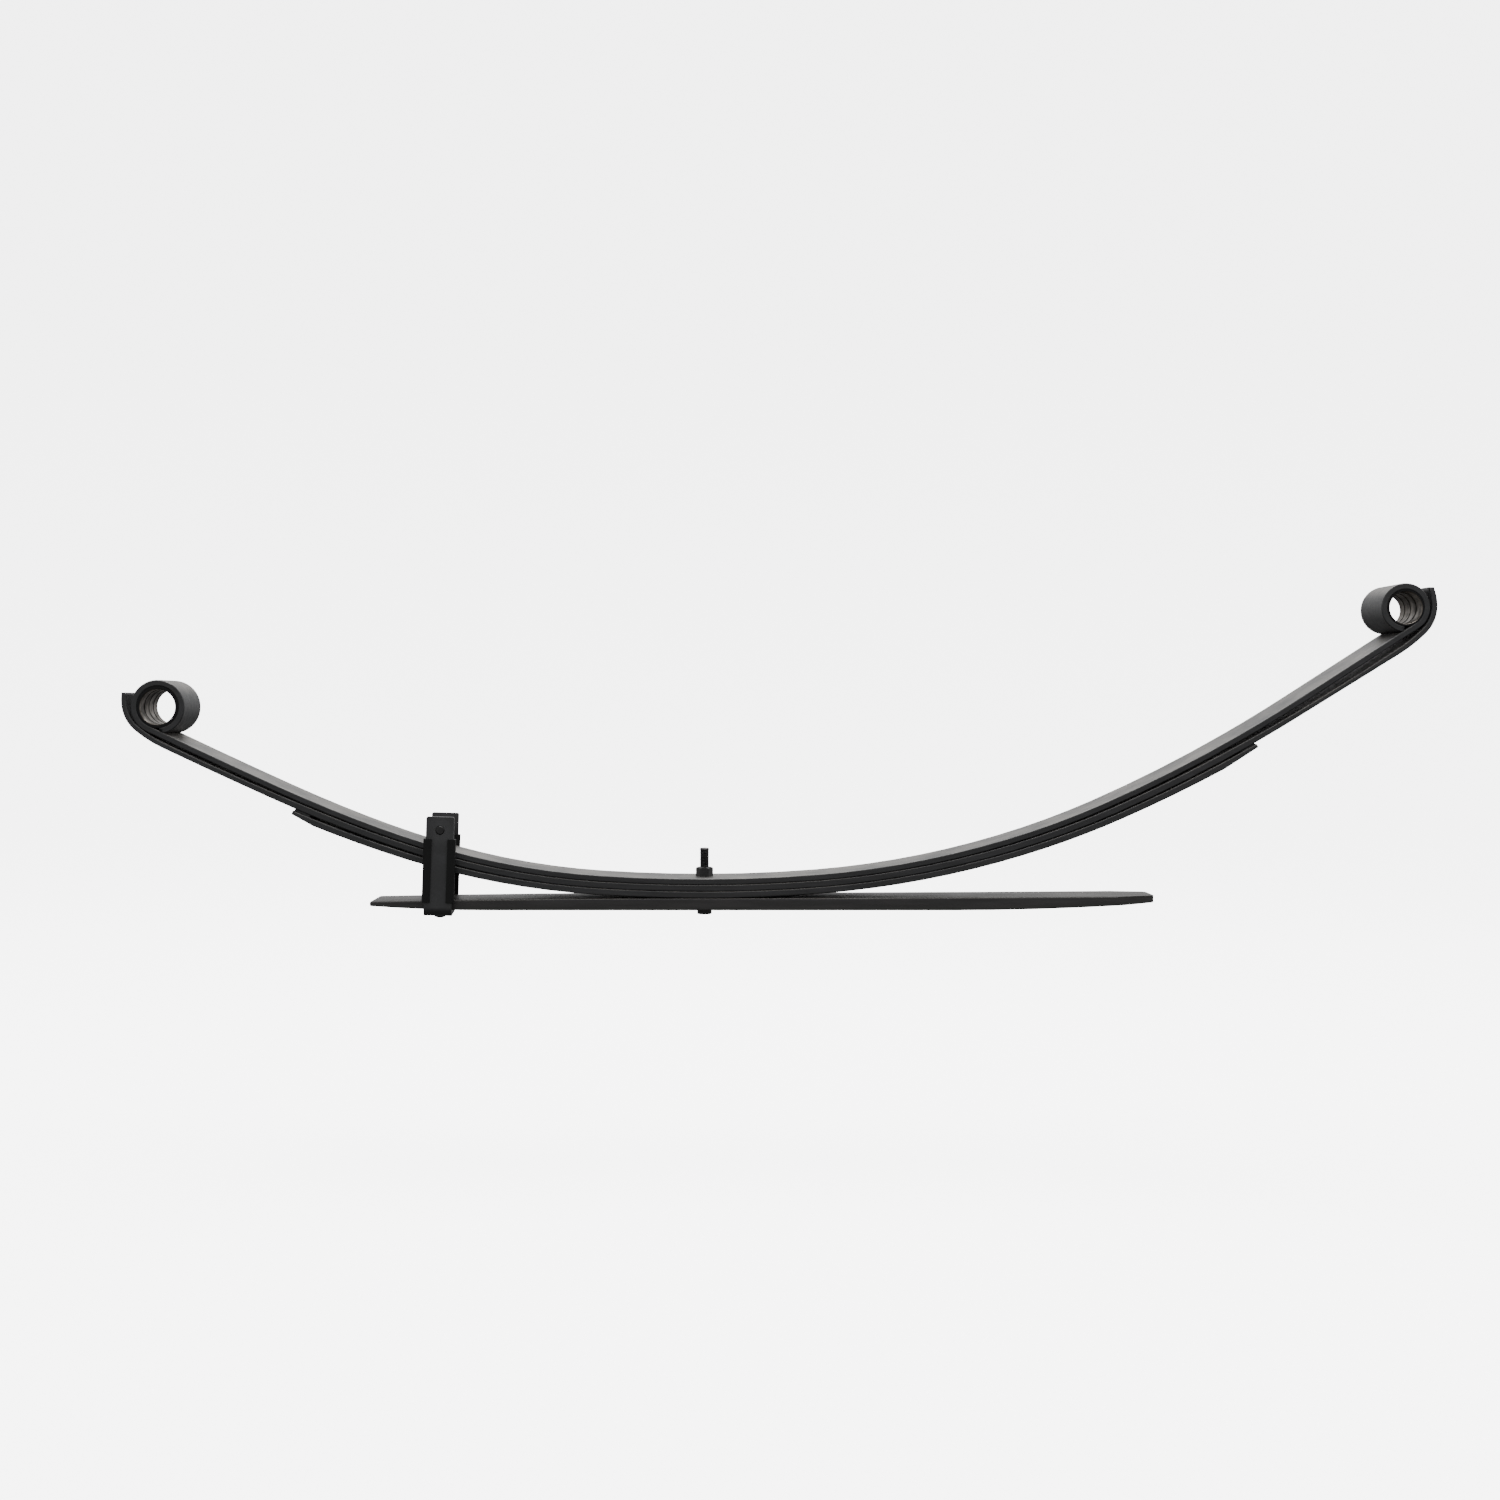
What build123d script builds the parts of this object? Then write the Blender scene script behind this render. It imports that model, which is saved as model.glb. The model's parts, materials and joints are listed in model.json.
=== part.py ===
"""Rear leaf spring: three bowed leaves, a flat overload leaf and a rebound clip.

Frame: origin on the centre bolt at the seat, the underside of the overload leaf.
+X runs towards the long arm, +Y across the leaves, +Z up. Sizes in mm, angles in degrees.
"""
from build123d import *
from math import acos, cos, degrees, radians, sin, sqrt, tan
import os

os.makedirs("parts", exist_ok=True)

# Leaves -------------------------------------------------------------------
leaf_width = 60.0
main_thickness = 6.5
second_thickness = 7.0
third_thickness = 7.0
overload_thickness = 12.7
edge_radius = 1.2
shortest_rounded_edge = 15.0
overcut = 1.0
second_depth = main_thickness
third_depth = second_depth + second_thickness
pack_thickness = third_depth + third_thickness
pack_top = overload_thickness + pack_thickness

# Each arm of the main leaf's top face: tangent arcs (radius, turn), then a straight run.
SHORT = -1
LONG = 1
arcs = {
    SHORT: [(1700, 3.7), (785, 13.7), (1175, 3.7), (1565, 3.2), (6600, 1.2)],
    LONG: [(1500, 4.6), (950, 13.8), (865, 5.3), (1470, 6.3), (1580, 2.8)],
}
straight_run = {SHORT: 13.9, LONG: 141.0}

# Lower leaves are bowed a little less, so the pack opens towards its ends.
second_spread = {SHORT: 14.0, LONG: 18.0}
third_spread = {SHORT: 48.0, LONG: 30.0}

# Rolled eyes and their press-fitted steel sleeves ---------------------------
eye_radius = {SHORT: 22.0, LONG: 19.3}
sleeve_bore_radius = {SHORT: 18.5, LONG: 17.0}
wrap_end = 265.0
wrap_gap = 0.4
sleeve_clearance = 0.05
sleeve_chamfer = 0.6
oil_groove_count = 3
oil_groove_width = 4.0
oil_groove_depth = 0.5

# The second leaf ends in a straight run, then curls round the outside of each eye.
# Tangent arcs (radius, turn) of the curl's outer face; it starts short of the eye's foot.
second_run_heading = {SHORT: 25.3, LONG: 31.8}
second_taper_heading = {SHORT: 22.0, LONG: 27.0}
curl_thickness = {SHORT: 5.6, LONG: 6.0}
curl_lead = {SHORT: 22.2, LONG: 31.3}
curl_arcs = {
    SHORT: [(132, 14.6), (40.5, 51.5), (137, 20)],
    LONG: [(157, 13), (41, 53), (67, 16)],
}
curl_tail = 10.0
curl_top = {SHORT: 15.2, LONG: 21.5}

# Third leaf, tapered on its underside towards each tip
third_tip_heading = {SHORT: 22.8, LONG: 29.8}
third_taper_turn = {SHORT: 0.9, LONG: 1.6}
third_tip_thickness = 4.0

# Plastic pads that the third leaf's tips press against the second leaf
pad_length = 18.0
pad_width = 58.0
pad_corner = 2.0
pad_thickness = {SHORT: 2.3, LONG: 1.2}
pad_stem_radius = 4.0
pad_stem_length = 3.2
pad_stem_clearance = 0.3
pad_from_tip = 10.0
pad_bed = 0.15

# Overload leaf --------------------------------------------------------------
overload_reach = {SHORT: 352.0, LONG: 475.0}
overload_top_radius = {SHORT: 17000.0, LONG: 55000.0}
seat_reach = {SHORT: 225.0, LONG: 260.0}
underside_radius = {SHORT: 1800.0, LONG: 3090.0}
overload_nose_length = 42.0
overload_nose_cut = 10.0
overload_corner = {SHORT: 3.0, LONG: 6.0}
upright_tolerance = 8.0

# Centre bolt, M10, and its nut ------------------------------------------------
bolt_radius = 5.0
bolt_clearance = 0.5
bolt_top = 63.5
bolt_head_radius = 7.8
bolt_head_reach = 7.0
bolt_head_edge = 1.2
bolt_head_sink = 0.6
bolt_sink_radius = 9.0
bolt_tip_chamfer = 1.0
thread_end_gap = 1.5
thread_crest = 0.1
centre_drill_depth = 2.5
thread_pitch = 1.5
thread_depth = 0.75
thread_start = 36.0
centre_drill_radius = 1.25
nut_across_flats = 16.0
nut_height = 9.8
nut_thread_clearance = 0.05
nut_seat_gap = 0.05
nut_bevel_angle = 30.0
nut_bevel_share = 0.95

# Rebound clip, riveted to the short arm of the overload leaf --------------------
clip_reach = 282.0
clip_yaw = 4.4
strap_thickness = 6.0
strap_width = 29.0
strap_height = 98.0
strap_bend_radius = 3.0
strap_corner = 2.0
strap_seat_gap = 0.2
liner_thickness = 2.0
liner_clearance = 1.9
liner_lip = 8.4
liner_bottom = 8.2
liner_height = 66.4
liner_play = 0.15
liner_corner = 1.0
pin_radius = 4.5
pin_height = 84.0
pin_chamfer = 0.8
pin_clearance = 0.25
pin_proud = 0.5
spacer_end_gap = 0.1
spacer_radius = 7.0
rivet_radius = 5.0
rivet_clearance = 0.1
rivet_head_radius = 8.5
rivet_head_height = 5.5
rivet_sink_radius = 8.5
rivet_sink_depth = 3.5
rivet_flush_gap = 0.2
rivet_overlap = 0.1
dome_shoulder = 0.75
dome_shoulder_height = 0.66


def ahead(side, heading):
    """Unit direction, outboard along a leaf that climbs at this heading."""
    return Vector(side * cos(radians(heading)), sin(radians(heading)))


def above(side, heading):
    """Unit direction, square to the leaf and upward."""
    return Vector(-side * sin(radians(heading)), cos(radians(heading)))


def arm_arcs(side, depth, spread, end_heading):
    """(start, heading, radius, turn) of each arc of a face that lies depth under the top."""
    point = Vector(0, pack_top - depth)
    heading = 0.0
    for top_radius, whole_turn in arcs[side]:
        radius = top_radius + depth + spread
        turn = min(whole_turn, end_heading - heading)
        if turn <= 0:
            return
        yield point, heading, radius, turn
        centre = point + above(side, heading) * radius
        heading += turn
        point = centre - above(side, heading) * radius


def arm_end(side, depth, spread=0.0, end_heading=90.0):
    """End point and heading of the arcs that arm_arcs lists."""
    start, heading, radius, turn = list(arm_arcs(side, depth, spread, end_heading))[-1]
    centre = start + above(side, heading) * radius
    return centre - above(side, heading + turn) * radius, heading + turn


def draw_arm(side, depth, spread=0.0, end_heading=90.0):
    """Draw one face of an arm from the centre outwards."""
    for start, heading, radius, turn in arm_arcs(side, depth, spread, end_heading):
        JernArc(start, ahead(side, heading), radius, side * turn)
    return arm_end(side, depth, spread, end_heading)


def eye_centre(side):
    end, heading = arm_end(side, 0.0)
    foot = end + ahead(side, heading) * straight_run[side]
    return foot + above(side, heading) * eye_radius[side]


def polar(side, centre, radius, angle):
    """Point round an eye: 0 degrees is outboard, 90 is up."""
    return centre + Vector(side * cos(radians(angle)), sin(radians(angle))) * radius


def draw_eye(side):
    """One arm of the main leaf with its rolled eye, as an open outline."""
    inner = eye_radius[side]
    outer = inner + main_thickness
    centre = eye_centre(side)
    top_end, heading = draw_arm(side, 0.0)
    bottom_end, _ = draw_arm(side, main_thickness)
    run = ahead(side, heading) * straight_run[side]
    Line(top_end, top_end + run)
    Line(bottom_end, bottom_end + run)
    JernArc(top_end + run, ahead(side, heading), inner, side * (wrap_end + 90 - heading))
    # The wrap's end is scarfed to lie just over the leaf that it closes on.
    scarf = inner - wrap_gap
    outer_turn = 360 - degrees(acos(scarf / outer))
    JernArc(bottom_end + run, ahead(side, heading), outer, side * outer_turn)
    scarf_reach = sqrt(outer**2 - scarf**2)
    scarf_root = centre - ahead(side, heading) * scarf_reach - above(side, heading) * scarf
    toe_radius = scarf / cos(radians(heading + 270 - wrap_end))
    toe = polar(side, centre, toe_radius, wrap_end)
    Line(polar(side, centre, inner, wrap_end), toe)
    Line(toe, scarf_root)


def draw_curl(side):
    """One arm of the second leaf, thinned to its curl, as an open outline."""
    spread = second_spread[side]
    thickness = curl_thickness[side]
    end, heading = draw_arm(side, third_depth, spread, second_run_heading[side])
    reach = (eye_centre(side) - end).dot(ahead(side, heading)) - curl_lead[side]
    outer = end + ahead(side, heading) * reach
    inner = outer + above(side, heading) * thickness
    Line(end, outer)
    taper_start, taper_heading = draw_arm(side, second_depth, spread, second_taper_heading[side])
    TangentArc(taper_start, inner, tangent=ahead(side, taper_heading))
    for radius, turn in curl_arcs[side]:
        outer_arc = JernArc(outer, ahead(side, heading), radius, side * turn)
        inner_arc = JernArc(inner, ahead(side, heading), radius - thickness, side * turn)
        outer = outer_arc @ 1
        inner = inner_arc @ 1
        heading += turn
    tail = ahead(side, heading) * curl_tail
    Line(outer, outer + tail)
    Line(inner, inner + tail)
    Line(outer + tail, inner + tail)


def draw_tapered_arm(side):
    """One arm of the third leaf, as an open outline."""
    tip_heading = third_tip_heading[side]
    spread = third_spread[side]
    top_end, _ = draw_arm(side, third_depth, spread, tip_heading)
    taper_heading = tip_heading - third_taper_turn[side]
    bottom_end, _ = draw_arm(side, pack_thickness, spread, taper_heading)
    tip_bottom = top_end - above(side, tip_heading) * third_tip_thickness
    Line(top_end, tip_bottom)
    Line(tip_bottom, bottom_end)


def side_edges(part):
    """Long edges of the two flat sides of a leaf."""
    edges = part.faces().filter_by(Axis.Y).edges()
    return edges.filter_by(lambda edge: edge.length > shortest_rounded_edge)


def tip_plane(side):
    """Plane on the third leaf's top face at its tip: x outboard, z square to the leaf."""
    end, heading = arm_end(side, third_depth, third_spread[side], third_tip_heading[side])
    out = ahead(side, heading)
    up = above(side, heading)
    return Plane(origin=(end.X, 0, end.Y), x_dir=(out.X, 0, out.Y), z_dir=(up.X, 0, up.Y))


# Main leaf with both eyes
with BuildPart() as main_leaf:
    with BuildSketch(Plane.XZ):
        with BuildLine():
            for side in (SHORT, LONG):
                draw_eye(side)
        make_face()
    extrude(amount=leaf_width / 2, both=True)
    fillet(side_edges(main_leaf.part), edge_radius)
    with Locations((0, 0, pack_top)):
        Hole(bolt_radius + bolt_clearance, depth=pack_thickness)

# Second leaf with its curls, each trimmed level beside its eye
above_centre = (Align.CENTER, Align.MIN)
with BuildPart() as second_leaf:
    with BuildSketch(Plane.XZ):
        with BuildLine():
            for side in (SHORT, LONG):
                draw_curl(side)
        make_face()
        for side in (SHORT, LONG):
            eye = eye_centre(side)
            with Locations((eye.X, eye.Y + curl_top[side])):
                Rectangle(leaf_width * 2, leaf_width, align=above_centre, mode=Mode.SUBTRACT)
    extrude(amount=leaf_width / 2, both=True)
    fillet(side_edges(second_leaf.part), edge_radius)
    with Locations((0, 0, pack_top)):
        Hole(bolt_radius + bolt_clearance, depth=pack_thickness)

# Third leaf, with a hole near each tip for the pad's stem
with BuildPart() as third_leaf:
    with BuildSketch(Plane.XZ):
        with BuildLine():
            for side in (SHORT, LONG):
                draw_tapered_arm(side)
        make_face()
    extrude(amount=leaf_width / 2, both=True)
    fillet(side_edges(third_leaf.part), edge_radius)
    with Locations((0, 0, pack_top)):
        Hole(bolt_radius + bolt_clearance, depth=pack_thickness)
    for side in (SHORT, LONG):
        with BuildSketch(tip_plane(side)):
            with Locations((-pad_from_tip, 0)):
                Circle(pad_stem_radius + pad_stem_clearance)
        extrude(amount=third_thickness, both=True, mode=Mode.SUBTRACT)


def make_tip_pad(side):
    """Flat pad on the third leaf's tip, with a stem that drops into the leaf."""
    bed = tip_plane(side).offset(pad_bed)
    with BuildPart() as pad:
        with BuildSketch(bed):
            with Locations((-pad_from_tip, 0)):
                RectangleRounded(pad_length, pad_width, pad_corner)
        extrude(amount=pad_thickness[side])
        with BuildSketch(bed):
            with Locations((-pad_from_tip, 0)):
                Circle(pad_stem_radius)
        extrude(amount=-pad_stem_length)
    return pad.part


# Overload leaf: flat seat, underside rising to both ends
with BuildPart() as overload_leaf:
    with BuildSketch(Plane.XZ):
        with BuildLine():
            Line((-seat_reach[SHORT], 0), (seat_reach[LONG], 0))
            for side in (SHORT, LONG):
                rise = seat_reach[side], underside_radius[side]
                underside_turn = degrees((overload_reach[side] - rise[0]) / rise[1])
                under = JernArc((side * rise[0], 0), (side, 0), rise[1], side * underside_turn)
                bow = -1 if side == SHORT else 1
                bow_radius = overload_top_radius[side]
                bow_turn = degrees(overload_reach[side] / bow_radius)
                top = JernArc((0, overload_thickness), (side, 0), bow_radius, side * bow * bow_turn)
                Line(top @ 1, under @ 1)
        make_face()
    extrude(amount=leaf_width / 2, both=True)
    with BuildSketch(Plane.XY):
        nose = overload_reach[LONG] + overcut
        half = leaf_width / 2
        for flank in (-1, 1):
            with BuildLine():
                Polyline(
                    (nose, flank * (half - overload_nose_cut)),
                    (nose, flank * (half + overcut)),
                    (nose - overload_nose_length, flank * (half + overcut)),
                    (nose - overload_nose_length, flank * half),
                    close=True,
                )
            make_face()
    extrude(amount=2 * overload_thickness, both=True, mode=Mode.SUBTRACT)
    ends = overload_leaf.edges().filter_by(Axis.Z, tolerance=upright_tolerance)
    fillet(ends.group_by(Axis.X)[0], overload_corner[SHORT])
    fillet(ends.group_by(Axis.X)[-1], overload_corner[LONG])
    fillet(side_edges(overload_leaf.part), edge_radius)
    with Locations((0, 0, overload_thickness)):
        Hole(bolt_radius + bolt_clearance, depth=2 * overload_thickness)
    # Spot-face that the bolt's head seats in
    with BuildSketch(Plane.XY):
        Circle(bolt_sink_radius)
    extrude(amount=bolt_head_sink, mode=Mode.SUBTRACT)

# Rivet place: on the overload leaf's underside, square to it
clip_slope = degrees((clip_reach - seat_reach[SHORT]) / underside_radius[SHORT])
clip_rise = underside_radius[SHORT] * (1 - cos(radians(clip_slope)))
clip_normal = above(SHORT, clip_slope)
rivet_plane = Plane(
    origin=(-clip_reach, 0, clip_rise),
    x_dir=(clip_normal.Y, 0, -clip_normal.X),
    z_dir=(clip_normal.X, 0, clip_normal.Y),
)
clip_plane = rivet_plane.rotated((0, 0, clip_yaw))
overload_at_clip = overload_thickness - clip_reach**2 / (2 * overload_top_radius[SHORT])
rivet_top = overload_at_clip - clip_rise - rivet_flush_gap


def draw_rivet_shape(bottom, top):
    """Half section of the countersunk hole or of the rivet that fills it."""
    Polyline(
        (0, bottom),
        (rivet_radius, bottom),
        (rivet_radius, rivet_top - rivet_sink_depth),
        (rivet_sink_radius, rivet_top),
        (rivet_sink_radius, top),
        (0, top),
        close=True,
    )


# Planes that contain the rivet's axis: x outwards, y up the rivet
rivet_section = Plane(rivet_plane.origin, x_dir=rivet_plane.x_dir, z_dir=-rivet_plane.y_dir)
rivet_axis = Axis(rivet_plane.origin, rivet_plane.z_dir)

with BuildPart() as rivet_hole:
    with BuildSketch(rivet_section):
        with BuildLine():
            draw_rivet_shape(-overcut, overload_thickness)
        make_face()
    revolve(axis=rivet_axis)
with overload_leaf:
    add(rivet_hole.part, mode=Mode.SUBTRACT)

# Rivet: countersunk flush in the leaf, domed head under the strap
rivet_web = strap_seat_gap + strap_thickness
with BuildPart() as clip_rivet:
    with BuildSketch(rivet_section):
        with BuildLine():
            draw_rivet_shape(-rivet_web - 1, rivet_top + rivet_overlap)
        make_face()
    revolve(axis=rivet_axis)
    with BuildSketch(rivet_section):
        with BuildLine():
            dome = ThreePointArc(
                (0, -rivet_web - rivet_head_height),
                (
                    dome_shoulder * rivet_head_radius,
                    -rivet_web - dome_shoulder_height * rivet_head_height,
                ),
                (rivet_head_radius, -rivet_web - rivet_overlap),
            )
            Polyline(dome @ 1, (0, -rivet_web - rivet_overlap), dome @ 0)
        make_face()
    revolve(axis=rivet_axis)

# Rebound clip strap: a U that stands on its web under the leaf
leg_inside = leaf_width / 2 + liner_clearance + liner_thickness + liner_play
leg_outside = leg_inside + strap_thickness
web_top = -strap_seat_gap
web_bottom = web_top - strap_thickness
strap_section = Plane(clip_plane.origin, x_dir=clip_plane.y_dir, z_dir=clip_plane.x_dir)
with BuildPart() as rebound_clip_strap:
    with BuildSketch(strap_section):
        with BuildLine():
            for web, leg, bend in (
                (web_bottom, leg_outside, strap_bend_radius + strap_thickness),
                (web_top, leg_inside, strap_bend_radius),
            ):
                FilletPolyline(
                    (-leg, strap_height),
                    (-leg, web),
                    (leg, web),
                    (leg, strap_height),
                    radius=bend,
                )
            for flank in (-1, 1):
                Line((flank * leg_inside, strap_height), (flank * leg_outside, strap_height))
        make_face()
    extrude(amount=strap_width / 2, both=True)
    with BuildSketch(clip_plane):
        Circle(rivet_radius + rivet_clearance)
    extrude(amount=-2 * strap_thickness, mode=Mode.SUBTRACT)
    pin_plane = Plane(clip_plane.origin, x_dir=clip_plane.x_dir, z_dir=-clip_plane.y_dir)
    with BuildSketch(pin_plane):
        with Locations((0, pin_height)):
            Circle(pin_radius + pin_clearance)
    extrude(amount=leg_outside + overcut, both=True, mode=Mode.SUBTRACT)
    across = Axis(clip_plane.origin, clip_plane.y_dir)
    up_the_clip = Axis(clip_plane.origin, clip_plane.z_dir)
    leg_ends = rebound_clip_strap.faces().sort_by(up_the_clip)[-2:].edges()
    fillet(leg_ends.filter_by(across), strap_corner)


def make_liner(flank):
    """Plastic channel on one leg: a wall beside the leaves, lips gripping the strap."""
    half_wide = strap_width / 2 + liner_play + liner_thickness
    inside = leg_inside - liner_play - liner_thickness
    outside = leg_outside + liner_play + liner_thickness
    slot_depth = outside - inside - 2 * liner_thickness
    with BuildPart() as liner:
        with BuildSketch(clip_plane.offset(liner_bottom)):
            with Locations((0, flank * (inside + outside) / 2)):
                RectangleRounded(2 * half_wide, outside - inside, liner_corner)
            with Locations((0, flank * (inside + liner_thickness + slot_depth / 2))):
                Rectangle(2 * (half_wide - liner_thickness), slot_depth, mode=Mode.SUBTRACT)
            with Locations((0, flank * outside)):
                Rectangle(2 * (half_wide - liner_lip), 3 * liner_thickness, mode=Mode.SUBTRACT)
        extrude(amount=liner_height)
    return liner.part


# Cross pin through both legs, and the spacer tube that keeps them apart
pin_reach = leg_outside + pin_proud
with BuildPart() as clip_cross_pin:
    with BuildSketch(pin_plane):
        with Locations((0, pin_height)):
            Circle(pin_radius)
    extrude(amount=pin_reach, both=True)
    chamfer(clip_cross_pin.edges().filter_by(GeomType.CIRCLE), pin_chamfer)

with BuildPart() as clip_spacer_tube:
    with BuildSketch(pin_plane):
        with Locations((0, pin_height)):
            Circle(spacer_radius)
            Circle(pin_radius + pin_clearance, mode=Mode.SUBTRACT)
    extrude(amount=leg_inside - spacer_end_gap, both=True)

# Centre bolt: round head sunk in the seat, ring-cut thread at its upper end
with BuildPart() as centre_bolt:
    with BuildSketch(Plane.XZ):
        with BuildLine():
            Polyline(
                (0, -bolt_head_reach),
                (bolt_head_radius, -bolt_head_reach),
                (bolt_head_radius, bolt_head_sink),
                (bolt_radius, bolt_head_sink),
                (bolt_radius, bolt_top),
                (0, bolt_top),
                close=True,
            )
        make_face()
    revolve(axis=Axis.Z)
    rims = centre_bolt.edges().filter_by(GeomType.CIRCLE).sort_by(Axis.Z)
    fillet(rims[0], bolt_head_edge)
    chamfer(rims[-1], bolt_tip_chamfer)
    with BuildSketch(Plane.XZ):
        thread_turns = int((bolt_top - thread_end_gap - thread_start) / thread_pitch)
        for turn in range(thread_turns):
            root = thread_start + (turn + 0.5) * thread_pitch
            half_cut = thread_pitch / 2 - thread_crest
            with BuildLine():
                Polyline(
                    (bolt_radius - thread_depth, root),
                    (bolt_radius + thread_crest, root - half_cut),
                    (bolt_radius + thread_crest, root + half_cut),
                    close=True,
                )
            make_face()
    revolve(axis=Axis.Z, mode=Mode.SUBTRACT)
    with Locations((0, 0, bolt_top)):
        CounterSinkHole(centre_drill_radius / 2, centre_drill_radius, depth=centre_drill_depth)

with BuildPart() as centre_nut:
    with BuildSketch(Plane.XY.offset(pack_top + nut_seat_gap)):
        RegularPolygon(nut_across_flats / 2, 6, major_radius=False)
        Circle(bolt_radius + nut_thread_clearance, mode=Mode.SUBTRACT)
    extrude(amount=nut_height)
    # Cone that bevels the nut's upper corners
    with BuildSketch(Plane.XZ):
        with BuildLine():
            corner = nut_across_flats / sqrt(3)
            bevel = corner - nut_bevel_share * nut_across_flats / 2
            nut_top = pack_top + nut_seat_gap + nut_height
            Polyline(
                (corner - bevel, nut_top),
                (corner + overcut, nut_top),
                (corner + overcut, nut_top - (bevel + overcut) * tan(radians(nut_bevel_angle))),
                close=True,
            )
        make_face()
    revolve(axis=Axis.Z, mode=Mode.SUBTRACT)


def make_sleeve(side):
    """Thin steel sleeve in an eye, with annular oil grooves in its bore."""
    eye = eye_centre(side)
    bore = sleeve_bore_radius[side]
    outside = eye_radius[side] - sleeve_clearance
    half = leaf_width / 2
    eye_axis = Axis((eye.X, 0, eye.Y), (0, 1, 0))
    section = Plane(origin=(eye.X, 0, eye.Y), x_dir=(1, 0, 0), z_dir=(0, 0, 1))
    with BuildPart() as sleeve:
        with BuildSketch(section):
            with Locations(((bore + outside) / 2, 0)):
                wall = Rectangle(outside - bore, leaf_width)
            chamfer(wall.vertices().sort_by(Axis.X)[:2], sleeve_chamfer)
            for groove in range(oil_groove_count):
                place = leaf_width * ((groove + 1) / (oil_groove_count + 1) - 0.5)
                with Locations((bore, place)):
                    Rectangle(2 * oil_groove_depth, oil_groove_width, mode=Mode.SUBTRACT)
        revolve(axis=eye_axis)
    return sleeve.part


parts = {
    "main_leaf": main_leaf.part,
    "second_leaf": second_leaf.part,
    "third_leaf": third_leaf.part,
    "overload_leaf": overload_leaf.part,
    "short_arm_tip_pad": make_tip_pad(SHORT),
    "long_arm_tip_pad": make_tip_pad(LONG),
    "short_arm_eye_sleeve": make_sleeve(SHORT),
    "long_arm_eye_sleeve": make_sleeve(LONG),
    "centre_bolt": centre_bolt.part,
    "centre_nut": centre_nut.part,
    "rebound_clip_strap": rebound_clip_strap.part,
    "front_clip_liner": make_liner(-1),
    "rear_clip_liner": make_liner(1),
    "clip_cross_pin": clip_cross_pin.part,
    "clip_spacer_tube": clip_spacer_tube.part,
    "clip_rivet": clip_rivet.part,
}
for name, part in parts.items():
    part.label = name
    export_step(part, f"parts/{name}.step")
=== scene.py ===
"""Looks of the leaf spring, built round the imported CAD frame. Lengths in metres."""
import json
from math import ceil, cos, radians, sin

import bmesh
import bpy
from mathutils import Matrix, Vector


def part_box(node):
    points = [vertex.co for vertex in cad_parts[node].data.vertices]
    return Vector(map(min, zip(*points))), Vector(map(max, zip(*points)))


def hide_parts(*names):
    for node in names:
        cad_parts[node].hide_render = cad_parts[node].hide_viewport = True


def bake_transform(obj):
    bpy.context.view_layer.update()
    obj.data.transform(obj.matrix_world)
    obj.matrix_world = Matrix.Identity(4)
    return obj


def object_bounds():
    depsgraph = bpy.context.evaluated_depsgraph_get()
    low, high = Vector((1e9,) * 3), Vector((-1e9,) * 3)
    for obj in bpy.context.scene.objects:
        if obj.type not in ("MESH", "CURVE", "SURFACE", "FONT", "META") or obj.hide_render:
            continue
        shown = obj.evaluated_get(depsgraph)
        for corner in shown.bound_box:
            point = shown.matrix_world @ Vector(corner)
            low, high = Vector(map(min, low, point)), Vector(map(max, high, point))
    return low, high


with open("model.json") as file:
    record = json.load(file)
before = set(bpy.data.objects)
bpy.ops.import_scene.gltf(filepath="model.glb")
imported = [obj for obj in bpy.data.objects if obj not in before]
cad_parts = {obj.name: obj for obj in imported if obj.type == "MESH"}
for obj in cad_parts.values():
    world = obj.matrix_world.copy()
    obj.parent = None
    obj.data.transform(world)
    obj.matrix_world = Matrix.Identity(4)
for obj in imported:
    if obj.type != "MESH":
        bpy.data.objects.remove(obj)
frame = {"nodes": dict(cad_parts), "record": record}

cad_low, cad_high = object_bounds()
nodes = frame["nodes"]
mounts = {mount["name"]: mount for mount in frame["record"]["mounts"]}

MM = 0.001


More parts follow.
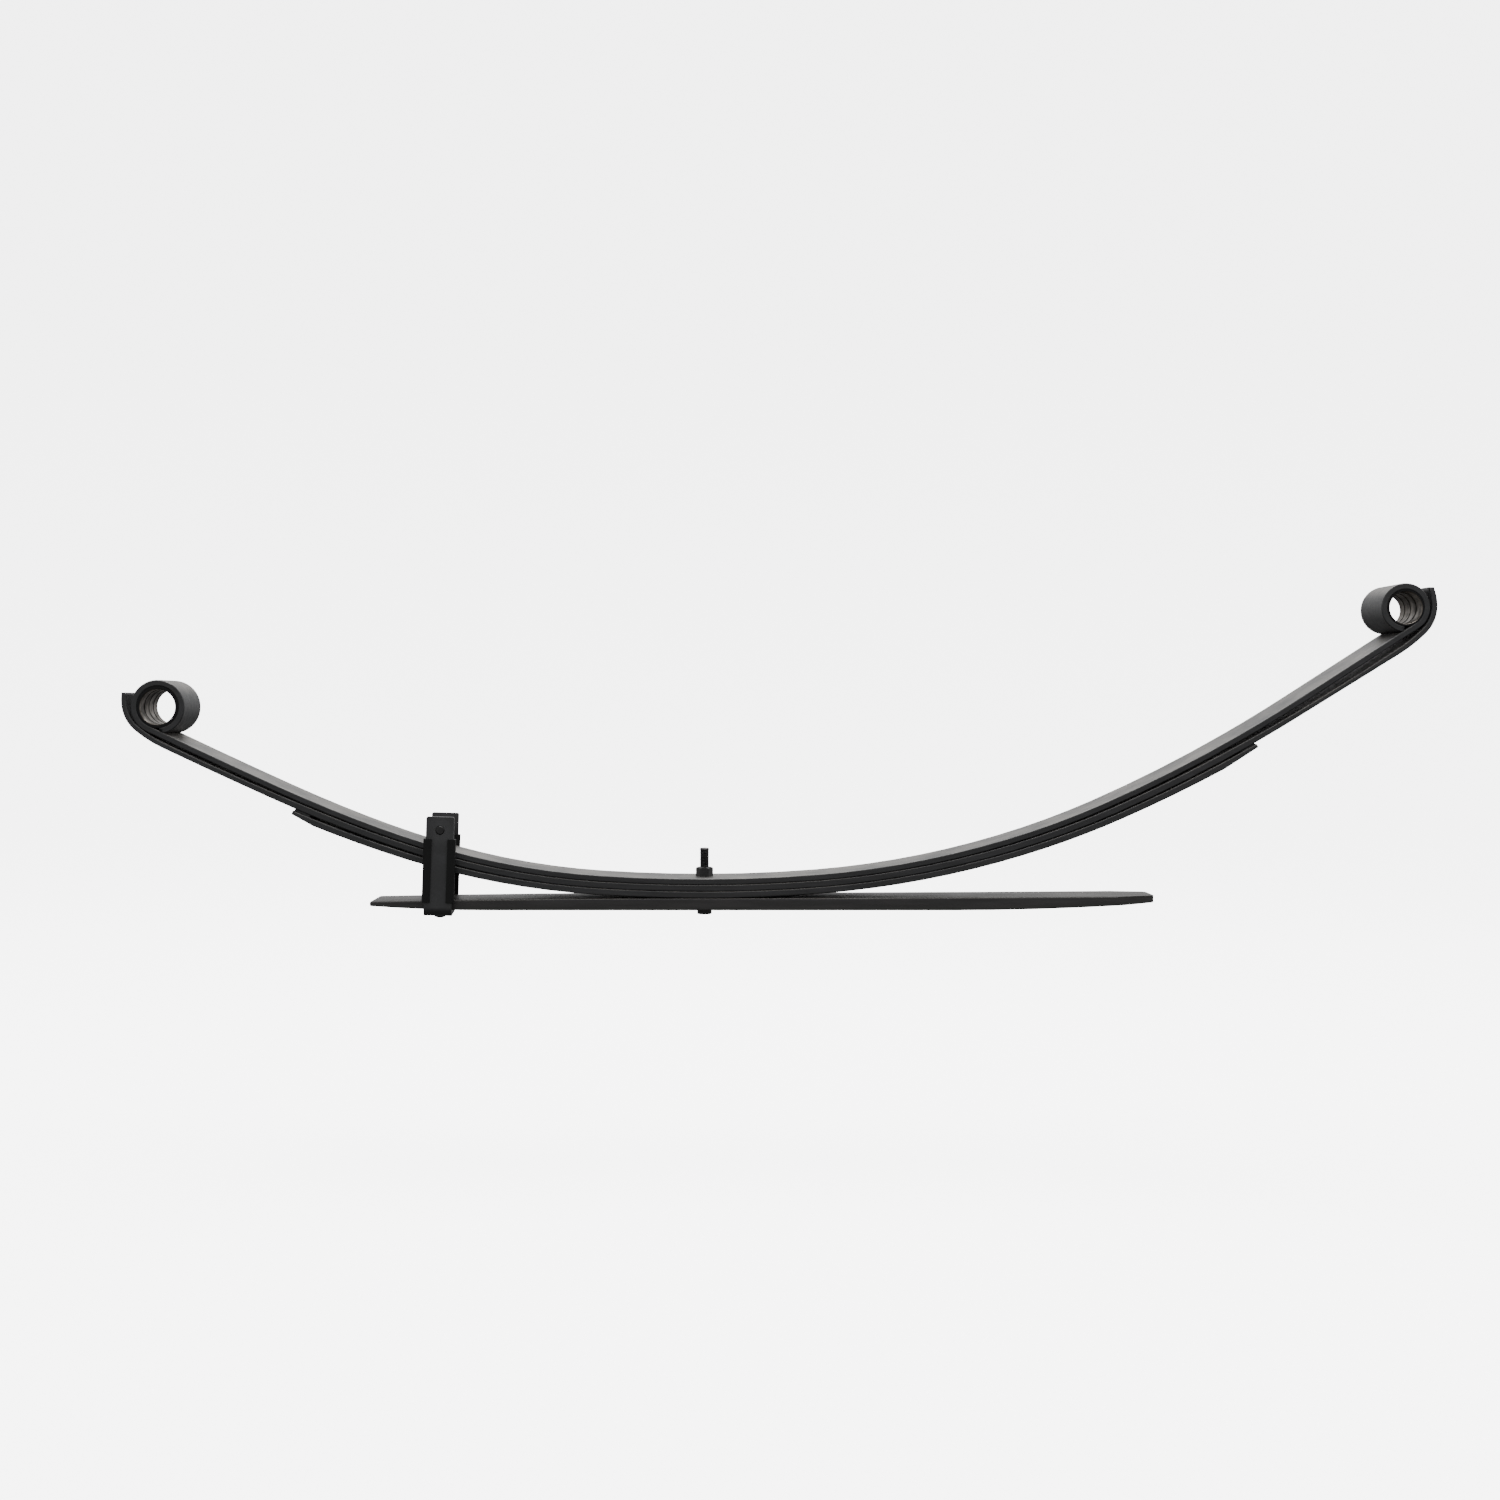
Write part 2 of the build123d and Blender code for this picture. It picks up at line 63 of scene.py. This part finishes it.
# ---------------------------------------------------------------- material helpers
class Shader:
    """A material's node tree, with short calls to add and join nodes."""

    def __init__(self, name):
        self.material = bpy.data.materials.new(name)
        self.material.use_nodes = True
        self.tree = self.material.node_tree
        self.surface = self.tree.nodes["Principled BSDF"]

    def node(self, kind, settings=None, **inputs):
        made = self.tree.nodes.new(kind)
        for name, value in (settings or {}).items():
            setattr(made, name, value)
        for name, value in inputs.items():
            self.feed(made, name.replace("_", " "), value)
        return made

    def feed(self, made, socket, value):
        numbered = socket[:1] == "i" and socket[1:].isdigit()
        target = made.inputs[int(socket[1:]) if numbered else socket]
        if isinstance(value, bpy.types.NodeSocket):
            self.tree.links.new(value, target)
        else:
            target.default_value = value

    def rest_place(self):
        """Where a point is on the piece at rest, so that patterns don't slide in a pose."""
        return self.node("ShaderNodeAttribute", {"attribute_name": "rest"}).outputs["Vector"]

    def noise(self, place, scale, detail=6.0, roughness=0.55):
        made = self.node(
            "ShaderNodeTexNoise", Vector=place, Scale=scale, Detail=detail, Roughness=roughness
        )
        return made.outputs["Fac"]

    def cells(self, place, scale, randomness=1.0):
        made = self.node("ShaderNodeTexVoronoi", Vector=place, Scale=scale, Randomness=randomness)
        return made.outputs

    def stretch(self, place, factors):
        made = self.node("ShaderNodeVectorMath", {"operation": "MULTIPLY"}, i0=place, i1=factors)
        return made.outputs[0]

    def between(self, value, low, high, low_out=0.0, high_out=1.0):
        """Smooth ramp of value from low..high to low_out..high_out."""
        made = self.node(
            "ShaderNodeMapRange",
            {"interpolation_type": "SMOOTHSTEP"},
            i0=value, i1=low, i2=high, i3=low_out, i4=high_out,
        )
        return made.outputs[0]

    def math(self, operation, first, second=0.0):
        return self.node("ShaderNodeMath", {"operation": operation}, i0=first, i1=second).outputs[0]

    def mix(self, factor, first, second):
        made = self.node("ShaderNodeMix", {"data_type": "RGBA"}, i0=factor, i6=first, i7=second)
        return made.outputs[2]

    def upward(self):
        """How far the surface faces up, from 0 on a side to 1 on a top face."""
        return self.between(self.normal_part("Z"), 0.35, 0.8)

    def normal_part(self, axis):
        """The surface normal's share along one axis."""
        normal = self.node("ShaderNodeNewGeometry").outputs["Normal"]
        return self.node("ShaderNodeSeparateXYZ", Vector=normal).outputs[axis]

    def bump(self, height, strength, distance, below=None):
        made = self.node("ShaderNodeBump", Strength=strength, Distance=distance, Height=height)
        if below is not None:
            self.tree.links.new(below, made.inputs["Normal"])
        return made.outputs["Normal"]

    def finish(self, color, roughness, normal, metallic=0.0, specular=0.5, coat=0.0):
        self.feed(self.surface, "Base Color", color)
        self.feed(self.surface, "Roughness", roughness)
        self.feed(self.surface, "Normal", normal)
        self.surface.inputs["Metallic"].default_value = metallic
        self.surface.inputs["Specular IOR Level"].default_value = specular
        self.surface.inputs["Coat Weight"].default_value = coat
        return self.material


STREAK_LIFT = 1.7


def make_leaf_paint(name, dark, dust_and_sheen_tone, dust_and_sheen_amount):
    """Thin dark paint over shot-peened steel; top faces get dust mixed with painted sheen, and
    painted glints.
    """
    shade = Shader(name)
    place = shade.rest_place()
    cloud = shade.noise(place, 22.0, 8.0, 0.6)
    streak = shade.noise(shade.stretch(place, (14.0, 160.0, 160.0)), 1.0, 6.0, 0.6)
    grain = shade.noise(place, 1100.0, 3.0, 0.7)
    peened = shade.cells(place, 900.0)["Distance"]
    # Painted glints: small pale yellowish spots standing in for highlights on the rough paint
    painted_glints = shade.between(shade.cells(place, 420.0)["Distance"], 0.16, 0.05)
    glint_chance = shade.between(shade.noise(place, 60.0, 4.0), 0.52, 0.62)
    painted_glints = shade.math("MULTIPLY", painted_glints, glint_chance)
    up = shade.upward()
    # Paler tone on top faces only: partly dust, partly painted sheen standing in for reflected
    # light
    dust_and_sheen_mask = shade.between(shade.math("ADD", cloud, shade.math("MULTIPLY", grain, 0.5)), 0.5, 1.0)
    dust_and_sheen_mask = shade.math("MULTIPLY", shade.math("MULTIPLY", dust_and_sheen_mask, up), dust_and_sheen_amount)
    worn = tuple(part * STREAK_LIFT for part in dark[:3]) + (1,)
    color = shade.mix(shade.between(streak, 0.4, 0.7), dark, worn)
    color = shade.mix(dust_and_sheen_mask, color, dust_and_sheen_tone)
    # Painted glints, shown on top faces only
    color = shade.mix(shade.math("MULTIPLY", painted_glints, up), color, (0.42, 0.37, 0.27, 1))
    roughness = shade.between(shade.math("ADD", streak, grain), 0.7, 1.3, 0.36, 0.58)
    normal = shade.bump(peened, 0.22, 0.25 * MM)
    normal = shade.bump(grain, 0.18, 0.2 * MM, normal)
    normal = shade.bump(streak, 0.12, 0.6 * MM, normal)
    return shade.finish(color, roughness, normal)


def make_clip_paint():
    shade = Shader("clip_paint")
    place = shade.rest_place()
    cloud = shade.noise(place, 45.0, 6.0)
    grain = shade.noise(place, 1500.0, 3.0)
    patch = shade.between(cloud, 0.35, 0.7)
    color = shade.mix(patch, (0.017, 0.017, 0.018, 1), (0.028, 0.028, 0.030, 1))
    roughness = shade.between(grain, 0.3, 0.7, 0.38, 0.55)
    normal = shade.bump(grain, 0.2, 0.15 * MM)
    normal = shade.bump(cloud, 0.15, 0.5 * MM, normal)
    return shade.finish(color, roughness, normal)


def make_liner_plastic(name, tone):
    shade = Shader(name)
    place = shade.rest_place()
    grain = shade.cells(place, 1300.0)["Distance"]
    flow = shade.noise(place, 30.0, 4.0)
    color = shade.mix(flow, (tone, tone, tone, 1), (tone * 1.9, tone * 1.9, tone * 2.0, 1))
    roughness = shade.between(flow, 0.3, 0.7, 0.55, 0.7)
    normal = shade.bump(grain, 0.25, 0.12 * MM)
    return shade.finish(color, roughness, normal, specular=0.2)


def make_black_oxide():
    shade = Shader("black_oxide")
    place = shade.rest_place()
    cloud = shade.noise(place, 160.0, 6.0)
    grain = shade.noise(place, 2500.0, 2.0)
    color = shade.mix(cloud, (0.007, 0.007, 0.0075, 1), (0.024, 0.023, 0.023, 1))
    roughness = shade.between(cloud, 0.3, 0.7, 0.3, 0.5)
    normal = shade.bump(grain, 0.15, 0.08 * MM)
    return shade.finish(color, roughness, normal, metallic=0.35)


def make_sleeve_steel():
    """Turned bare steel, oiled and stained, with tool marks round the bore."""
    shade = Shader("sleeve_steel")
    place = shade.rest_place()
    stain = shade.noise(place, 90.0, 7.0, 0.65)
    rings = shade.noise(shade.stretch(place, (30.0, 2600.0, 30.0)), 1.0, 3.0)
    stained = shade.between(stain, 0.35, 0.7)
    color = shade.mix(stained, (0.17, 0.15, 0.13, 1), (0.06, 0.052, 0.043, 1))
    # The paint of the leaves also covers the sleeve's ends
    across = shade.math("ABSOLUTE", shade.normal_part("Y"))
    color = shade.mix(shade.between(across, 0.6, 0.85), color, (0.012, 0.012, 0.013, 1))
    roughness = shade.between(stain, 0.3, 0.7, 0.32, 0.55)
    normal = shade.bump(rings, 0.3, 0.1 * MM)
    return shade.finish(color, roughness, normal, metallic=0.85)


PAPER_GLOW = 4.5


def make_floor_paper():
    shade = Shader("floor_paper")
    place = shade.node("ShaderNodeTexCoord").outputs["Object"]
    fibre = shade.noise(place, 400.0, 4.0)
    color = shade.mix(fibre, (0.93, 0.93, 0.93, 1), (0.95, 0.95, 0.95, 1))
    shade.surface.inputs["Emission Color"].default_value = (1, 1, 1, 1)
    shade.surface.inputs["Emission Strength"].default_value = PAPER_GLOW
    return shade.finish(color, 0.9, shade.bump(fibre, 0.05, 0.1 * MM), specular=0.1)


# In both paints the last two values are the tone and amount of dust and painted sheen on top faces
paint = make_leaf_paint(
    "leaf_paint", (0.010, 0.010, 0.011, 1), (0.105, 0.098, 0.088, 1), 0.75
)
overload_paint = make_leaf_paint(
    "overload_paint", (0.012, 0.011, 0.011, 1), (0.050, 0.043, 0.036, 1), 0.5
)
clip_paint = make_clip_paint()
liner_plastic = make_liner_plastic("liner_plastic", 0.003)
pad_plastic = make_liner_plastic("pad_plastic", 0.02)
black_oxide = make_black_oxide()
sleeve_steel = make_sleeve_steel()


# ---------------------------------------------------------------- mesh helpers
def remember_rest(mesh):
    """Store every vertex's rest place for the materials."""
    rest = mesh.attributes.new("rest", "FLOAT_VECTOR", "POINT")
    for vertex in mesh.vertices:
        rest.data[vertex.index].vector = vertex.co


def dress(obj, material):
    obj.data.materials.clear()
    obj.data.materials.append(material)


def smooth(obj, angle=32):
    """Smooth shading that keeps edges sharper than angle, with flat faces kept flat."""
    mesh = obj.data
    for polygon in mesh.polygons:
        polygon.use_smooth = True
    mesh.set_sharp_from_angle(angle=radians(angle))
    weighted = obj.modifiers.new("weighted", "WEIGHTED_NORMAL")
    weighted.keep_sharp = True
    weighted.weight = 80


def add_piece(name, builder, material):
    """Object from a finished bmesh."""
    mesh = bpy.data.meshes.new(name)
    builder.to_mesh(mesh)
    builder.free()
    obj = bpy.data.objects.new(name, mesh)
    bpy.context.scene.collection.objects.link(obj)
    remember_rest(mesh)
    dress(obj, material)
    return obj


def cut_across(builder, x, clear_below=False, clear_above=False):
    """Cut every face that crosses the plane at x, and clear one side of it if asked."""
    everything = builder.verts[:] + builder.edges[:] + builder.faces[:]
    return bmesh.ops.bisect_plane(
        builder,
        geom=everything,
        dist=1e-7,
        plane_co=(x, 0, 0),
        plane_no=(1, 0, 0),
        clear_inner=clear_below,
        clear_outer=clear_above,
    )


# ---------------------------------------------------------------- leaves
CLAMP_HALF_LENGTH = 0.05
BEND_SHARE = 0.68
STATION = 8 * MM


class Arm:
    """The stretch of one arm from the clamp to where it stays straight; bend() only bakes a piece's
    transform.
    """

    def __init__(self, name, side):
        self.name = name
        self.side = side
        eye = Vector(mounts[name + "_eye"]["pos_m"])
        self.body = name + "_arm_end"
        self.start = CLAMP_HALF_LENGTH
        self.end = self.start + BEND_SHARE * (abs(eye.x) - self.start)

    def bend(self, obj):
        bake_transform(obj)


short_arm = Arm("short", -1)
long_arm = Arm("long", 1)


def make_leaf_half(node, arm):
    """One arm of a leaf, cut from its CAD shape and cut across at evenly spaced stations."""
    builder = bmesh.new()
    builder.from_mesh(nodes[node].data)
    bmesh.ops.remove_doubles(builder, verts=builder.verts[:], dist=1e-6)
    cut_across(builder, 0.0, clear_below=arm.side > 0, clear_above=arm.side < 0)
    open_edges = [edge for edge in builder.edges if edge.is_boundary]
    bmesh.ops.holes_fill(builder, edges=open_edges, sides=0)
    stations = ceil((arm.end + 0.05) / STATION)
    for station in range(1, stations):
        cut_across(builder, arm.side * station * STATION)
    half = add_piece(f"{node}_{arm.name}_arm", builder, paint)
    smooth(half)
    arm.bend(half)
    return half


for leaf in ("main_leaf", "second_leaf", "third_leaf"):
    halves = [make_leaf_half(leaf, arm) for arm in (short_arm, long_arm)]
    for half in halves:
        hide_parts(leaf)

for arm in (short_arm, long_arm):
    node = f"{arm.name}_arm_tip_pad"
    builder = bmesh.new()
    builder.from_mesh(nodes[node].data)
    bmesh.ops.remove_doubles(builder, verts=builder.verts[:], dist=1e-6)
    pad = add_piece(f"tip_pad_{arm.name}", builder, pad_plastic)
    smooth(pad)
    arm.bend(pad)
    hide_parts(node)


# ---------------------------------------------------------------- kept CAD nodes
kept = {
    "overload_leaf": (overload_paint, "overload_steel"),
    "short_arm_eye_sleeve": (sleeve_steel, "sleeve_steel"),
    "long_arm_eye_sleeve": (sleeve_steel, "sleeve_steel"),
    "centre_bolt": (black_oxide, "fastener_steel"),
    "centre_nut": (black_oxide, "fastener_steel"),
    "rebound_clip_strap": (clip_paint, "clip_steel"),
    "front_clip_liner": (liner_plastic, "liner_plastic"),
    "rear_clip_liner": (liner_plastic, "liner_plastic"),
    "clip_cross_pin": (black_oxide, "fastener_steel"),
    "clip_spacer_tube": (clip_paint, "clip_steel"),
    "clip_rivet": (clip_paint, "clip_steel"),
}
for name, (material, slot) in kept.items():
    remember_rest(nodes[name].data)
    dress(nodes[name], material)

# Small bevels on the stamped and moulded pieces and on the nut
for name in ("rebound_clip_strap", "front_clip_liner", "rear_clip_liner", "centre_nut"):
    corners = nodes[name].modifiers.new("corners", "BEVEL")
    corners.width = 0.4 * MM
    corners.segments = 2
    corners.limit_method = "ANGLE"
    corners.angle_limit = radians(40)


# ---------------------------------------------------------------- floor, light, camera
FLOOR_DROP = 0.25
# Light from straight down to overhead: from height, to height, dim, bright
WORLD_RAMP = (-0.5, 0.8, 0.12, 1.5)
SWEEP_STEPS = 24


def make_floor():
    """White paper sweep below the spring: a floor that curves up into a wall far behind."""
    ground = cad_low.z - FLOOR_DROP
    half_width, near, far, bend, top = 9.0, -7.0, 5.0, 2.5, 9.0
    profile = [(near, ground)]
    for step in range(SWEEP_STEPS + 1):
        angle = radians(90 * step / SWEEP_STEPS)
        profile.append((far + bend * sin(angle), ground + bend * (1 - cos(angle))))
    profile.append((far + bend, top))
    builder = bmesh.new()
    rows = []
    for x in (-half_width, half_width):
        rows.append([builder.verts.new((x, y, z)) for y, z in profile])
    for index in range(len(profile) - 1):
        left, right = rows
        builder.faces.new((left[index], right[index], right[index + 1], left[index + 1]))
    mesh = bpy.data.meshes.new("floor")
    builder.to_mesh(mesh)
    builder.free()
    for polygon in mesh.polygons:
        polygon.use_smooth = True
    floor = bpy.data.objects.new("floor", mesh)
    bpy.context.scene.collection.objects.link(floor)
    mesh.materials.append(make_floor_paper())
    # The glowing paper is seen by the camera but doesn't light the spring
    floor.visible_diffuse = False
    floor.visible_glossy = False
    floor.visible_shadow = False


def make_world():
    """Soft light that fades from a bright ceiling to a dim floor."""
    world = bpy.data.worlds.new("studio")
    world.use_nodes = True
    tree = world.node_tree
    direction = tree.nodes.new("ShaderNodeTexCoord")
    parts = tree.nodes.new("ShaderNodeSeparateXYZ")
    ramp = tree.nodes.new("ShaderNodeMapRange")
    ramp.interpolation_type = "SMOOTHSTEP"
    for socket, value in zip(("From Min", "From Max", "To Min", "To Max"), WORLD_RAMP):
        ramp.inputs[socket].default_value = value
    background = tree.nodes["Background"]
    background.inputs["Color"].default_value = (1, 1, 1, 1)
    tree.links.new(direction.outputs["Generated"], parts.inputs["Vector"])
    tree.links.new(parts.outputs["Z"], ramp.inputs["Value"])
    tree.links.new(ramp.outputs["Result"], background.inputs["Strength"])
    bpy.context.scene.world = world


def add_softbox(name, place, aim, size, power):
    light = bpy.data.lights.new(name, "AREA")
    light.shape = "RECTANGLE"
    light.size, light.size_y = size
    light.energy = power
    box = bpy.data.objects.new(name, light)
    box.location = place
    box.rotation_euler = (Vector(aim) - Vector(place)).to_track_quat("-Z", "Y").to_euler()
    bpy.context.scene.collection.objects.link(box)


def make_camera():
    """Square-on to the spring's side, level, a little right of the bolt at eye height."""
    sensor = 36.0
    front_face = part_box("main_leaf")[0].y
    distance = 1.835
    view_width = 1.575
    data = bpy.data.cameras.new("camera")
    data.sensor_width = sensor
    data.lens = sensor * distance / view_width
    data.shift_x = 0.0296
    data.shift_y = -0.0278
    data.clip_end = 100
    camera = bpy.data.objects.new("camera", data)
    camera.location = (0.0012, front_face - distance, 0.2123)
    camera.rotation_euler = (radians(90), 0, 0)
    bpy.context.scene.collection.objects.link(camera)
    bpy.context.scene.camera = camera


make_floor()
make_world()
add_softbox("top_box", (0.2, 0.3, 2.6), (0, 0, 0), (3.0, 2.0), 150)
make_camera()
